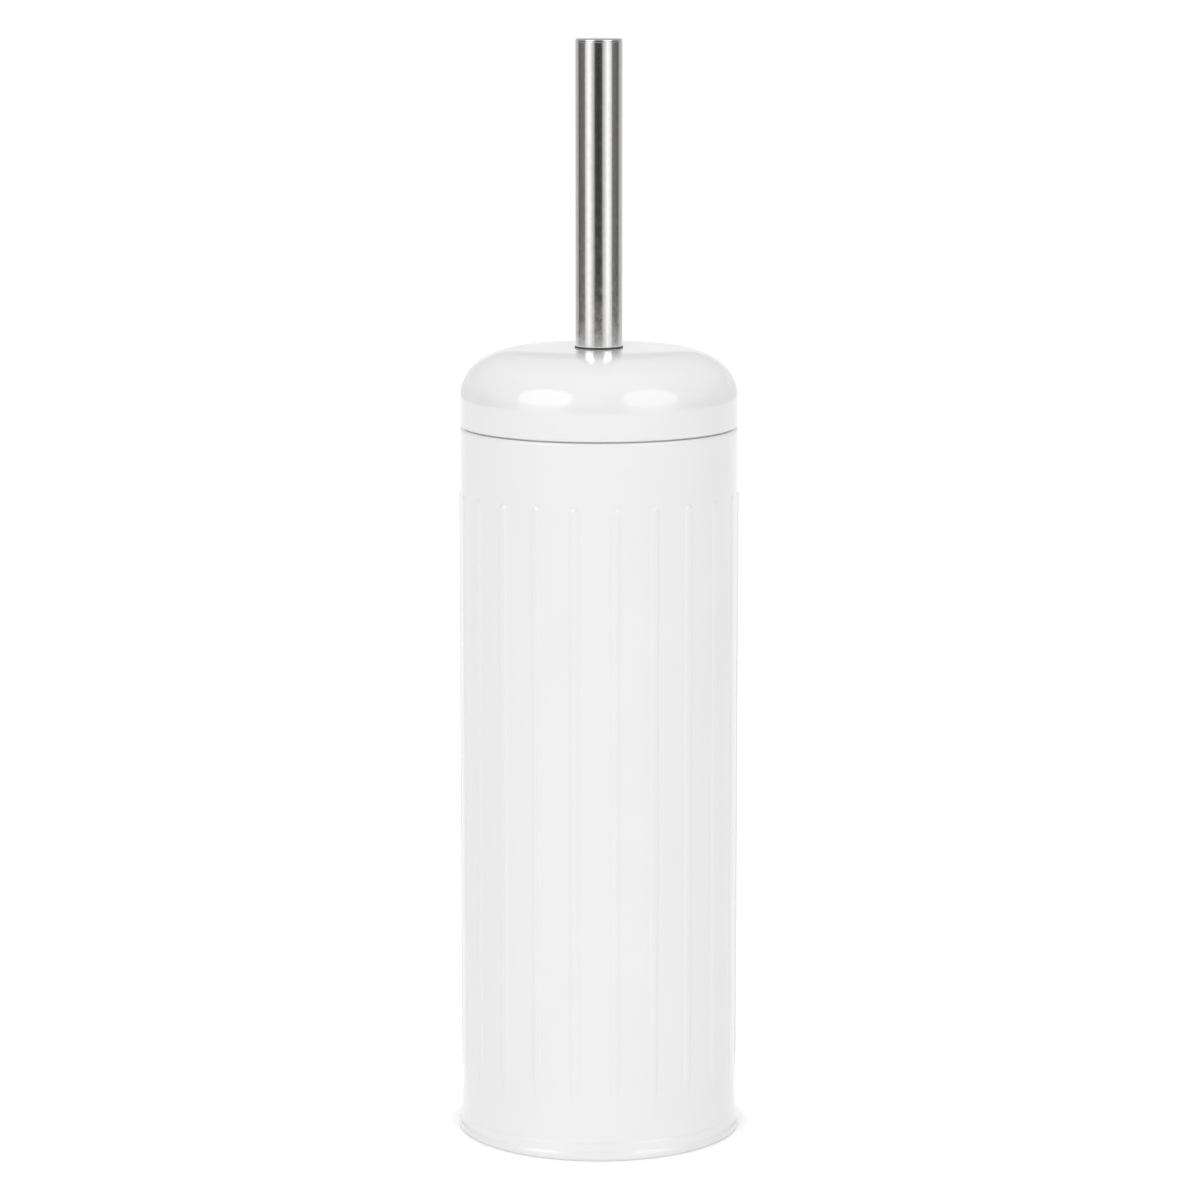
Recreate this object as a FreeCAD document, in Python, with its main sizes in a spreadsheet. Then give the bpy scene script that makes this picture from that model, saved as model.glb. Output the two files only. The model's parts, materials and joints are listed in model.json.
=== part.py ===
import FreeCAD, Part
import math
import os
import re

import Sketcher
from FreeCAD import Placement, Rotation, Vector

# Toilet brush holder: a painted sheet-steel canister with a removable drip cup, and a brush whose
# handle carries the canister's lid.
# Millimetres, +Z up. The origin is the middle of the base, on the surface that the rim stands on.
# The front faces -Y and +X is to the right.

SIZES = {
    # Canister: a tube of thin sheet with a stepped-in neck and a rolled base rim.
    "can_radius": 47.5,          # outside of the plain wall
    "can_wall": 0.5,             # sheet
    "shoulder_height": 245.8,    # top of the ledge that the lid stands on
    "shoulder_round": 0.8,       # outer edge of that ledge
    "neck_fillet": 0.4,          # between the ledge and the neck
    "neck_tall": 7.2,            # straight part of the neck above the ledge
    "curl_round": 1.0,           # inward safety curl round the mouth
    "rim_step": 1.5,             # how far the base rim stands out past the plain wall
    "rim_round": 1.2,            # outside radius of the rolled rim
    "rim_flat": 0.6,             # width of the ring that touches the floor
    "flare_step": 0.5,           # top of the flare above the rim, past the plain wall
    "flare_height": 5.8,
    "flare_round": 11.0,
    "heel_step": 0.32,           # wall just above the flare, past the plain wall
    "heel_height": 6.6,
    "heel_round": 1.5,
    "taper_height": 14.0,        # where the wall starts to widen towards the heel
    # Beads: narrow vertical ridges pressed out of the wall.
    "bead_count": 22,
    "bead_width": 2.8,
    "bead_rise": 0.5,
    "plain_band": 21.8,          # smooth band between the beads and the ledge
    "bead_start": 0.5,           # from the top of the taper up to the beads
    "bead_fade": 16.0,           # length over which a bead rises at its lower end
    "bead_sink": 0.3,            # how far below the wall a bead's lower end starts
    "bead_swing": 100.0,         # part of a full turn that a bead's outline sweeps, in degrees
    "bead_phase": 6.54,          # first bead, in degrees from the front towards +X
    # Base disc: a pressed floor whose flange stands in the rolled rim.
    "floor_ease": 0.22,          # between the disc and the wall's heel
    "floor_sheet": 0.5,
    "floor_height": 7.0,         # top face
    "floor_round": 1.6,
    "floor_foot": 1.0,           # lower edge of the flange
    "groove_radius": 28.0,       # stiffening groove in the floor
    "groove_width": 6.0,
    "groove_depth": 0.8,
    # Drip cup.
    "cup_gap": 0.3,              # above the base disc
    "cup_ease": 0.5,             # between the lip and the mouth of the canister
    "cup_wall": 1.5,
    "cup_tall": 118.0,
    "cup_taper": 2.0,            # how much narrower the foot is than the top, on the radius
    "cup_round": 5.0,
    "lip_wide": 1.2,
    "lip_tall": 3.0,
    "lip_edge": 0.6,
    # Lid: a drawn dome with a folded hem.
    "lid_sheet": 0.6,
    "lid_gap": 0.4,              # between the ledge and the hem
    "lid_ease": 0.35,            # between the neck and the hem
    "hem_fold": 1.25,            # folded edge, measured across
    "hem_tall": 4.0,
    "hem_round": 0.8,
    "hem_inner_round": 0.4,
    "skirt_tall": 9.45,          # straight side of the lid
    "knuckle_radius": 15.3,
    "knuckle_angle": 62.0,
    "crown_radius": 32.0,
    "lid_hole_ease": 0.2,        # between the stud and the hole in the lid
    # Handle.
    "handle_radius": 8.0,
    "handle_wall": 0.8,
    "handle_tall": 103.0,
    "cap_seam": 0.1,             # fine line between the tube and its end cap
    "cap_thick": 1.0,
    "cap_inset": 0.05,
    "cap_edge": 0.5,
    "cap_spigot": 6.0,
    "gasket_step": 0.25,         # how far the gasket shows round the tube
    "gasket_thick": 0.5,
    # Fasteners and plugs.
    "plug_gap": 0.05,            # between a plug and the tube round it
    "plug_tall": 18.0,
    "stud_radius": 4.0,
    "stud_grip": 14.0,           # how far the stud goes into each plug
    "thread_gap": 0.05,
    "washer_radius": 12.0,
    "washer_thick": 1.5,
    "nut_flats": 13.0,
    "nut_tall": 6.5,
    "nut_chamfer": 0.9,
    # Stem and brush head.
    "stem_radius": 6.0,
    "stem_wall": 0.6,
    "core_radius": 9.0,
    "head_room": 19.2,           # under the core's round end, above the cup's floor
    "core_neck": 11.0,           # from the highest ring of tufts to the core's top
    "collar_step": 1.0,          # how far the collar stands out past the core
    "collar_tall": 5.0,
    "socket_deep": 22.0,
    "socket_rest": 1.0,          # left empty below the stem's thread
    "row_pitch": 8.0,
    "row_tufts": 16,
    "tuft_root": 1.1,            # radius at the core
    "tuft_tip": 1.9,             # radius at the outer end
    "tuft_seat": 2.5,            # depth of the holes that hold the tufts
    "tuft_gap": 0.05,
    "brush_ease": 0.7,           # between the bristles and the cup
    "side_angle": 35.0,          # upper ring of end tufts, in degrees below level
    "side_reach": 34.0,
    "side_tufts": 12,
    "end_angle": 70.0,           # lower ring of end tufts
    "end_reach": 25.0,
    "end_tufts": 5,
}
ROW_COUNT = 8

# Sizes that follow from the sheet, written as expressions.
RIM_RADIUS = "(can_radius + rim_step)"
FLARE_RADIUS = "(can_radius + flare_step)"
HEEL_RADIUS = "(can_radius + heel_step)"
FLOOR_RADIUS = f"({HEEL_RADIUS} - can_wall - floor_ease)"
BEAD_TOP = "(shoulder_height - plain_band)"
BEAD_BOTTOM = "(taper_height + bead_start)"
BEAD_ROUND = "((bead_width^2 / 4 + bead_rise^2) / (2 * bead_rise))"
BEAD_AXIS = f"(can_radius + bead_rise - {BEAD_ROUND})"
HALF_PITCH = "(180 / bead_count)"
GROOVE_ROUND = "((groove_width^2 / 4 + groove_depth^2) / (2 * groove_depth))"
NECK_RADIUS = "(can_radius - hem_fold - lid_ease)"
NECK_TOP = "(shoulder_height + neck_tall)"
MOUTH_RADIUS = f"({NECK_RADIUS} - 2 * curl_round)"
CUP_BASE = "(floor_height + cup_gap)"
CUP_FLOOR = f"({CUP_BASE} + cup_wall)"
CUP_RIM = f"({CUP_BASE} + cup_tall)"
LIP_RADIUS = f"({MOUTH_RADIUS} - cup_ease)"
CUP_TOP = f"({LIP_RADIUS} - lip_wide)"
CUP_FOOT = f"({CUP_TOP} - cup_taper)"
HEM_HEIGHT = "(shoulder_height + lid_gap)"
SKIRT_TOP = f"({HEM_HEIGHT} + skirt_tall)"
CROWN_EDGE = "(can_radius - knuckle_radius - (crown_radius - knuckle_radius) * cos(knuckle_angle))"
LID_TOP = f"({SKIRT_TOP} + crown_radius - (crown_radius - knuckle_radius) * sin(knuckle_angle))"
LID_HOLE = "(stud_radius + lid_hole_ease)"
HANDLE_FOOT = f"({LID_TOP} + gasket_thick)"
HANDLE_TOP = f"({HANDLE_FOOT} + handle_tall)"
HANDLE_PLUG = "(handle_radius - handle_wall - plug_gap)"
WASHER_FOOT = f"({LID_TOP} - lid_sheet - washer_thick)"
STEM_TOP = f"({WASHER_FOOT} - nut_tall)"
STEM_PLUG = "(stem_radius - stem_wall - plug_gap)"
STUD_BORE = "(stud_radius + thread_gap)"
CORE_FOOT = f"({CUP_FLOOR} + head_room)"
HEAD_CENTRE = f"({CORE_FOOT} + core_radius)"
CORE_TOP = f"({HEAD_CENTRE} + {ROW_COUNT - 1} * row_pitch + core_neck)"
COLLAR_RADIUS = "(core_radius + collar_step)"
ROW_REACH = f"({CUP_FOOT} - cup_wall - brush_ease)"

doc = FreeCAD.newDocument("toilet_brush_holder")
sheet = doc.addObject("Spreadsheet::Sheet", "Sizes")
for line, (alias, size) in enumerate(SIZES.items(), start=1):
    sheet.set(f"A{line}", alias)
    sheet.set(f"B{line}", str(size))
    sheet.setAlias(f"B{line}", alias)
doc.recompute()

parts = []


def bound(text):
    """Turn the size names in an expression into references to the sheet."""
    return re.sub(r"[a-z]+(?:_[a-z]+)+", lambda found: "Sizes." + found.group(), text)


def value(text):
    """Work out an expression in millimetres or degrees."""
    return float(sheet.evalExpression(bound(text)))


def new_body(name):
    body = doc.addObject("PartDesign::Body", name)
    body.Label = name
    body.AllowCompound = True
    parts.append(body)
    return body


def origin(body, role):
    return next(item for item in body.Origin.OriginFeatures if item.Role == role)


def arc_between(start, end, radius, turn):
    """The short arc from start to end, turning left (+1) or right (-1)."""
    chord = end - start
    rise = math.sqrt(max(radius ** 2 - chord.Length ** 2 / 4, 0.0))
    side = Vector(-chord.y, chord.x, 0).normalize()
    middle = (start + end) / 2 + side * rise * turn
    first, last = (start, end) if turn > 0 else (end, start)
    angles = [math.atan2(point.y - middle.y, point.x - middle.x) for point in (first, last)]
    return Part.ArcOfCircle(Part.Circle(middle, Vector(0, 0, 1), radius), *angles)


def bind_constraint(sketch, constraint, expression):
    number = sketch.addConstraint(constraint)
    sketch.setExpression(f"Constraints[{number}]", bound(expression))


def pin_corner(sketch, edge, end, across, up):
    """Hold one end of an edge at a place given by two expressions."""
    for kind, axis, expression in (("DistanceX", -2, across), ("DistanceY", -1, up)):
        if expression == "0":
            sketch.addConstraint(Sketcher.Constraint("PointOnObject", edge, end, axis))
        else:
            rule = Sketcher.Constraint(kind, -1, 1, edge, end, value(expression))
            bind_constraint(sketch, rule, expression)


def draw(body, name, plane, corners):
    """Sketch a closed outline.

    A corner is (across, up), reached by a straight edge, or (across, up, radius, turn), reached by
    an arc. The first corner's edge comes from the last corner.
    """
    sketch = body.newObject("Sketcher::SketchObject", name)
    sketch.AttachmentSupport = [(origin(body, plane), "")]
    sketch.MapMode = "FlatFace"
    points = [Vector(value(corner[0]), value(corner[1]), 0) for corner in corners]
    ends = []
    for index, corner in enumerate(corners):
        start, end = points[index - 1], points[index]
        if len(corner) == 2:
            sketch.addGeometry(Part.LineSegment(start, end))
            ends.append((1, 2))
        else:
            radius, turn = corner[2:]
            sketch.addGeometry(arc_between(start, end, value(radius), turn))
            ends.append((1, 2) if turn > 0 else (2, 1))
    for index, corner in enumerate(corners):
        after = (index + 1) % len(corners)
        joined = Sketcher.Constraint("Coincident", index, ends[index][1], after, ends[after][0])
        sketch.addConstraint(joined)
        pin_corner(sketch, index, ends[index][1], corner[0], corner[1])
        if len(corner) == 4:
            rule = Sketcher.Constraint("Radius", index, value(corner[2]))
            bind_constraint(sketch, rule, corner[2])
    return sketch


def turn_outline(body, name, corners, kind="Revolution", axis="V_Axis"):
    """Revolve an outline a full turn, adding (Revolution) or removing (Groove) it."""
    sketch = draw(body, name + "_outline", "XZ_Plane", corners)
    feature = body.newObject("PartDesign::" + kind, name)
    feature.Profile = sketch
    feature.ReferenceAxis = (sketch, [axis])
    feature.Angle = 360
    body.Tip = feature
    return feature


def repeat_round(body, feature, name, count):
    """Repeat a feature evenly about the vertical axis."""
    pattern = body.newObject("PartDesign::PolarPattern", name)
    pattern.Originals = [feature]
    pattern.Axis = (origin(body, "Z_Axis"), [""])
    pattern.Angle = 360
    pattern.setExpression("Occurrences", bound(count))
    body.Tip = pattern
    return pattern


def ring_outline(inner, outer, low, high):
    return [(inner, low), (outer, low), (outer, high), (inner, high)]


def turned_ring(name, inner, outer, low, high):
    body = new_body(name)
    turn_outline(body, "ring", ring_outline(inner, outer, low, high))
    return body


def bead_outline(inset):
    """Half of one bead, set in from the painted surface by inset, about the bead's own axis."""
    crest = f"can_radius + bead_rise - {inset}"
    round_end = f"{BEAD_TOP} - bead_width / 2"
    return [
        (BEAD_AXIS, BEAD_BOTTOM),
        (f"can_radius - bead_sink - {inset}", BEAD_BOTTOM),
        (crest, f"{BEAD_BOTTOM} + bead_fade"),
        (crest, round_end),
        (BEAD_AXIS, f"{round_end} + {BEAD_ROUND} - {inset}", f"{BEAD_ROUND} - {inset}", 1),
    ]


def wall_outline(inset, low, high):
    """The canister from rim to neck, set in from the outside by inset, filled to the axis."""
    return [
        ("0", low),
        (f"{RIM_RADIUS} - {inset}", low),
        (f"{RIM_RADIUS} - {inset}", "rim_round"),
        (f"{FLARE_RADIUS} - {inset}", "flare_height", f"flare_round - {inset}", 1),
        (f"{HEEL_RADIUS} - {inset}", "heel_height", f"heel_round + {inset}", -1),
        (f"can_radius - {inset}", "taper_height"),
        (f"can_radius - {inset}", "shoulder_height - shoulder_round"),
        ("can_radius - shoulder_round", f"shoulder_height - {inset}", f"shoulder_round - {inset}", 1),
        (f"{NECK_RADIUS} + neck_fillet", f"shoulder_height - {inset}"),
        (f"{NECK_RADIUS} - {inset}", "shoulder_height + neck_fillet", f"neck_fillet + {inset}", -1),
        (f"{NECK_RADIUS} - {inset}", high),
        ("0", high),
    ]


def press_beads(body, name, inset, kind):
    """Sweep one bead about its own axis, half a pitch from the wall's seam, and repeat it."""
    bead = turn_outline(body, name, bead_outline(inset), kind, "Edge1")
    sketch = bead.Profile[0]
    sketch.AttachmentOffset = Placement(Vector(), Rotation(Vector(0, 1, 0), value(HALF_PITCH)))
    bead.Midplane = True
    bead.setExpression("Angle", bound("bead_swing"))
    repeat_round(body, bead, name + "s", "bead_count")


def make_canister():
    body = new_body("canister_body")
    blank = wall_outline("0", "rim_round", NECK_TOP)
    del blank[1]
    turn_outline(body, "blank", blank)
    press_beads(body, "bead", "0", "Revolution")
    turn_outline(body, "hollow", wall_outline("can_wall", "0", f"{NECK_TOP} + can_wall"), "Groove")
    press_beads(body, "bead_channel", "can_wall", "Groove")

    # The rim is rolled inwards under the wall and leaves a trough for the base disc's flange.
    centre = f"{RIM_RADIUS} - rim_round"
    inner_leg = f"{centre} - rim_flat - rim_round"
    turn_outline(body, "rim_roll", [
        (RIM_RADIUS, "rim_round"),
        (centre, "0", "rim_round", -1),
        (f"{centre} - rim_flat", "0"),
        (inner_leg, "rim_round", "rim_round", -1),
        (f"{inner_leg} + can_wall", "rim_round"),
        (f"{centre} - rim_flat", "can_wall", "rim_round - can_wall", 1),
        (centre, "can_wall"),
        (f"{RIM_RADIUS} - can_wall", "rim_round", "rim_round - can_wall", 1),
    ])

    # The mouth is curled inwards, so that no cut edge is left to touch.
    turn_outline(body, "mouth_curl", [
        (NECK_RADIUS, NECK_TOP),
        (f"{NECK_RADIUS} - curl_round", f"{NECK_TOP} + curl_round", "curl_round", 1),
        (MOUTH_RADIUS, NECK_TOP, "curl_round", 1),
        (f"{MOUTH_RADIUS} + can_wall", NECK_TOP),
        (f"{NECK_RADIUS} - curl_round", f"{NECK_TOP} + curl_round - can_wall",
         "curl_round - can_wall", -1),
        (f"{NECK_RADIUS} - can_wall", NECK_TOP, "curl_round - can_wall", -1),
    ])
    body.Placement.Rotation = Rotation(Vector(0, 0, 1), value(f"bead_phase - 90 - {HALF_PITCH}"))


def make_base_disc():
    body = new_body("base_disc")
    under = "floor_height - floor_sheet"
    turn_outline(body, "pressing", [
        ("0", "floor_height"),
        ("groove_radius - groove_width / 2", "floor_height"),
        ("groove_radius + groove_width / 2", "floor_height", GROOVE_ROUND, 1),
        (f"{FLOOR_RADIUS} - floor_round", "floor_height"),
        (FLOOR_RADIUS, "floor_height - floor_round", "floor_round", -1),
        (FLOOR_RADIUS, "floor_foot"),
        (f"{FLOOR_RADIUS} - floor_sheet", "floor_foot"),
        (f"{FLOOR_RADIUS} - floor_sheet", "floor_height - floor_round"),
        (f"{FLOOR_RADIUS} - floor_round", under, "floor_round - floor_sheet", 1),
        ("groove_radius + groove_width / 2", under),
        ("groove_radius - groove_width / 2", under, GROOVE_ROUND, -1),
        ("0", under),
    ])


def make_liner():
    body = new_body("liner_cup")
    turn_outline(body, "moulding", [
        ("0", CUP_BASE),
        (f"{CUP_FOOT} - cup_round", CUP_BASE),
        (CUP_FOOT, f"{CUP_BASE} + cup_round", "cup_round", 1),
        (CUP_TOP, f"{CUP_RIM} - lip_tall"),
        (LIP_RADIUS, f"{CUP_RIM} - lip_tall"),
        (LIP_RADIUS, f"{CUP_RIM} - lip_edge"),
        (f"{LIP_RADIUS} - lip_edge", CUP_RIM, "lip_edge", 1),
        (f"{CUP_TOP} - cup_wall", CUP_RIM),
        (f"{CUP_FOOT} - cup_wall", f"{CUP_BASE} + cup_round"),
        (f"{CUP_FOOT} - cup_round", CUP_FLOOR, "cup_round - cup_wall", -1),
        ("0", CUP_FLOOR),
    ])


def make_lid():
    body = new_body("lid_shell")
    knuckle_across = "can_radius - knuckle_radius"
    turn_outline(body, "dome", [
        (LID_HOLE, LID_TOP),
        (CROWN_EDGE, LID_TOP),
        (f"{knuckle_across} + knuckle_radius * cos(knuckle_angle)",
         f"{SKIRT_TOP} + knuckle_radius * sin(knuckle_angle)", "crown_radius", -1),
        ("can_radius", SKIRT_TOP, "knuckle_radius", -1),
        ("can_radius", f"{HEM_HEIGHT} + hem_round"),
        ("can_radius - hem_round", HEM_HEIGHT, "hem_round", -1),
        ("can_radius - hem_fold + hem_inner_round", HEM_HEIGHT),
        ("can_radius - hem_fold", f"{HEM_HEIGHT} + hem_inner_round", "hem_inner_round", -1),
        ("can_radius - hem_fold", f"{HEM_HEIGHT} + hem_tall"),
        ("can_radius - lid_sheet", f"{HEM_HEIGHT} + hem_tall"),
        ("can_radius - lid_sheet", SKIRT_TOP),
        (f"{knuckle_across} + (knuckle_radius - lid_sheet) * cos(knuckle_angle)",
         f"{SKIRT_TOP} + (knuckle_radius - lid_sheet) * sin(knuckle_angle)",
         "knuckle_radius - lid_sheet", 1),
        (CROWN_EDGE, f"{LID_TOP} - lid_sheet", "crown_radius - lid_sheet", 1),
        (LID_HOLE, f"{LID_TOP} - lid_sheet"),
    ])


def make_handle():
    turned_ring("handle_gasket", STUD_BORE, "handle_radius + gasket_step", LID_TOP, HANDLE_FOOT)
    turned_ring("handle_tube", "handle_radius - handle_wall", "handle_radius", HANDLE_FOOT,
                HANDLE_TOP)
    turned_ring("handle_plug", STUD_BORE, HANDLE_PLUG, HANDLE_FOOT, f"{HANDLE_FOOT} + plug_tall")

    body = new_body("handle_end_cap")
    cap_foot = f"{HANDLE_TOP} + cap_seam"
    cap_top = f"{cap_foot} + cap_thick"
    turn_outline(body, "pressing", [
        ("0", cap_foot),
        (f"{HANDLE_PLUG} - handle_wall", cap_foot),
        (f"{HANDLE_PLUG} - handle_wall", f"{HANDLE_TOP} - cap_spigot"),
        (HANDLE_PLUG, f"{HANDLE_TOP} - cap_spigot"),
        (HANDLE_PLUG, cap_foot),
        ("handle_radius - cap_inset", cap_foot),
        ("handle_radius - cap_inset", f"{cap_top} - cap_edge"),
        ("handle_radius - cap_inset - cap_edge", cap_top, "cap_edge", 1),
        ("0", cap_top),
    ])


def make_fasteners():
    body = new_body("lid_stud")
    low, high = f"{STEM_TOP} - stud_grip", f"{HANDLE_FOOT} + stud_grip"
    turn_outline(body, "rod", [("0", low), ("stud_radius", low), ("stud_radius", high), ("0", high)])
    turned_ring("lid_washer", STUD_BORE, "washer_radius", WASHER_FOOT, f"{LID_TOP} - lid_sheet")

    body = new_body("lid_nut")
    corner = "(nut_flats / (2 * cos(30)))"
    turns = range(0, 360, 60)
    hexagon = [(f"{corner} * cos({turn})", f"{corner} * sin({turn})") for turn in turns]
    sketch = draw(body, "hexagon", "XY_Plane", hexagon)
    sketch.setExpression("AttachmentOffset.Base.z", bound(STEM_TOP))
    pad = body.newObject("PartDesign::Pad", "blank")
    pad.Profile = sketch
    pad.setExpression("Length", bound("nut_tall"))
    body.Tip = pad
    ends = ((STEM_TOP, "+"), (WASHER_FOOT, "-"))
    for number, (face, inward) in enumerate(ends):
        turn_outline(body, f"chamfer_{number}", [
            ("nut_flats / 2", face),
            (f"{corner} + nut_chamfer", face),
            (f"{corner} + nut_chamfer", f"{face} {inward} nut_chamfer"),
        ], "Groove")
    below, above = f"{STEM_TOP} - nut_chamfer", f"{WASHER_FOOT} + nut_chamfer"
    turn_outline(body, "thread", [("0", below), (STUD_BORE, below), (STUD_BORE, above), ("0", above)],
                 "Groove")


def make_stem():
    turned_ring("stem_tube", "stem_radius - stem_wall", "stem_radius", CORE_TOP, STEM_TOP)
    turned_ring("stem_top_plug", STUD_BORE, STEM_PLUG, f"{STEM_TOP} - plug_tall", STEM_TOP)

    body = new_body("stem_end_stud")
    thread_foot = f"{CORE_TOP} - socket_deep + socket_rest"
    turn_outline(body, "plug", [
        ("0", thread_foot),
        ("stud_radius", thread_foot),
        ("stud_radius", CORE_TOP),
        (STEM_PLUG, CORE_TOP),
        (STEM_PLUG, f"{CORE_TOP} + plug_tall"),
        ("0", f"{CORE_TOP} + plug_tall"),
    ])


# The rings of tufts round the brush head: name of the node, height of the ring's centre, angle
# below level, distance of the tips from that centre, number of tufts, and turn in half pitches.
def brush_rings():
    rows = []
    for number in range(ROW_COUNT):
        height = f"{HEAD_CENTRE} + {number} * row_pitch"
        rows.append((f"bristle_row_{number + 1}", height, "0", ROW_REACH, "row_tufts", number % 2))
    rows.append(("bristle_side_tufts", HEAD_CENTRE, "side_angle", "side_reach", "side_tufts", 0))
    rows.append(("bristle_end_tufts", HEAD_CENTRE, "end_angle", "end_reach", "end_tufts", 0))
    return rows


def place_spoke(feature, height, angle, start, half_turns, count):
    """Lay a cone along a spoke of the head, start millimetres from the centre."""
    turn = f"({half_turns} * 180 / {count})"
    level = f"({start}) * cos({angle})"
    feature.setExpression("Placement.Base.x", bound(f"{level} * cos({turn})"))
    feature.setExpression("Placement.Base.y", bound(f"{level} * sin({turn})"))
    feature.setExpression("Placement.Base.z", bound(f"{height} - ({start}) * sin({angle})"))
    spin = Rotation(Vector(0, 0, 1), value(turn))
    feature.Placement.Rotation = spin * Rotation(Vector(0, 1, 0), 90 + value(angle))


def make_core():
    body = new_body("brush_core")
    turn_outline(body, "moulding", [
        ("0", CORE_FOOT),
        ("core_radius", HEAD_CENTRE, "core_radius", 1),
        ("core_radius", f"{CORE_TOP} - collar_tall"),
        (COLLAR_RADIUS, f"{CORE_TOP} - collar_tall + collar_step"),
        (COLLAR_RADIUS, CORE_TOP),
        (STUD_BORE, CORE_TOP),
        (STUD_BORE, f"{CORE_TOP} - socket_deep"),
        ("0", f"{CORE_TOP} - socket_deep"),
    ])
    for node, height, angle, reach, count, half_turns in brush_rings():
        hole = body.newObject("PartDesign::SubtractiveCone", node + "_hole")
        hole.setExpression("Radius1", bound("tuft_root + tuft_gap"))
        hole.setExpression("Radius2", bound("tuft_tip + tuft_gap"))
        hole.setExpression("Height", bound(f"{reach} - core_radius + tuft_seat"))
        start = "core_radius - tuft_seat - tuft_gap"
        place_spoke(hole, height, angle, start, half_turns, count)
        repeat_round(body, hole, node + "_holes", count)


def make_bristles():
    for node, height, angle, reach, count, half_turns in brush_rings():
        body = new_body(node)
        tuft = body.newObject("PartDesign::AdditiveCone", "tuft")
        tuft.setExpression("Radius1", bound("tuft_root"))
        tuft.setExpression("Radius2", bound("tuft_tip"))
        tuft.setExpression("Height", bound(f"{reach} - core_radius + tuft_seat"))
        place_spoke(tuft, height, angle, "core_radius - tuft_seat", half_turns, count)
        repeat_round(body, tuft, "tufts", count)


make_canister()
make_base_disc()
make_liner()
make_lid()
make_handle()
make_fasteners()
make_stem()
make_core()
make_bristles()
doc.recompute()

for item in doc.Objects:
    if "Invalid" in item.State or "Error" in item.State:
        raise RuntimeError(f"{item.Label} failed: {item.getStatusString()}")
for body in parts:
    if body.Shape.isNull() or not body.Shape.isValid():
        raise RuntimeError(f"{body.Label} has no valid shape")

os.makedirs("parts", exist_ok=True)
for body in parts:
    body.Shape.exportStep(f"parts/{body.Label}.step")
    solids = len(body.Shape.Solids)
    print(f"{body.Label}: {solids} solid(s), {body.Shape.Volume:.1f} mm3")
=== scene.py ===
import json
import random
from math import acos, cos, hypot, pi, radians, sin, sqrt, tan

import bmesh
import bpy
from mathutils import Matrix, Vector


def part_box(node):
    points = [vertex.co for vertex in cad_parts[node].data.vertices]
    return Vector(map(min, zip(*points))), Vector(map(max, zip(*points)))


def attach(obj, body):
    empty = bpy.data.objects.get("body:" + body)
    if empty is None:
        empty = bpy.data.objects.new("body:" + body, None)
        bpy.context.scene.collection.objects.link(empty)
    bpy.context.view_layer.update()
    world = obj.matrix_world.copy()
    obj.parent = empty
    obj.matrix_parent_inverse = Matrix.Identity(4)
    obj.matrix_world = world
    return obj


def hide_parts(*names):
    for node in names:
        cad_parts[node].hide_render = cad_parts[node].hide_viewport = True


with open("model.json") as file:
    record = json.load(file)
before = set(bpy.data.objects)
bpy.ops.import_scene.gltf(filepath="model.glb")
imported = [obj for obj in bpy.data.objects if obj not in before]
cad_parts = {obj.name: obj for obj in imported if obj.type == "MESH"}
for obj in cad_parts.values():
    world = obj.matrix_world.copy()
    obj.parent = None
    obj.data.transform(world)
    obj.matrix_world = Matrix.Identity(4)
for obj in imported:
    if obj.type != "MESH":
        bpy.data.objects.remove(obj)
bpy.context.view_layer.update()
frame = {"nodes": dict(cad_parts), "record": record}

mm = 0.001
upAxis = Vector((0, 0, 1))


class Signal:  # one socket's value; arithmetic on it adds Math nodes
    def __init__(self, finish, socket):
        self.finish = finish
        self.socket = socket

    def math(self, operation, first, second):
        return self.finish.node("ShaderNodeMath", {"operation": operation}, {0: first, 1: second})

    def __add__(self, other):
        return self.math("ADD", self, other)

    def __sub__(self, other):
        return self.math("SUBTRACT", self, other)

    def __rsub__(self, other):
        return self.math("SUBTRACT", other, self)

    def __mul__(self, other):
        return self.math("MULTIPLY", self, other)

    __radd__ = __add__
    __rmul__ = __mul__

    def between(self, low, high, outLow=0.0, outHigh=1.0):  # smooth step from low to high
        settings = {"interpolation_type": "SMOOTHSTEP"}
        inputs = {"Value": self, "From Min": low, "From Max": high, "To Min": outLow, "To Max": outHigh}
        return self.finish.node("ShaderNodeMapRange", settings, inputs)


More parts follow.
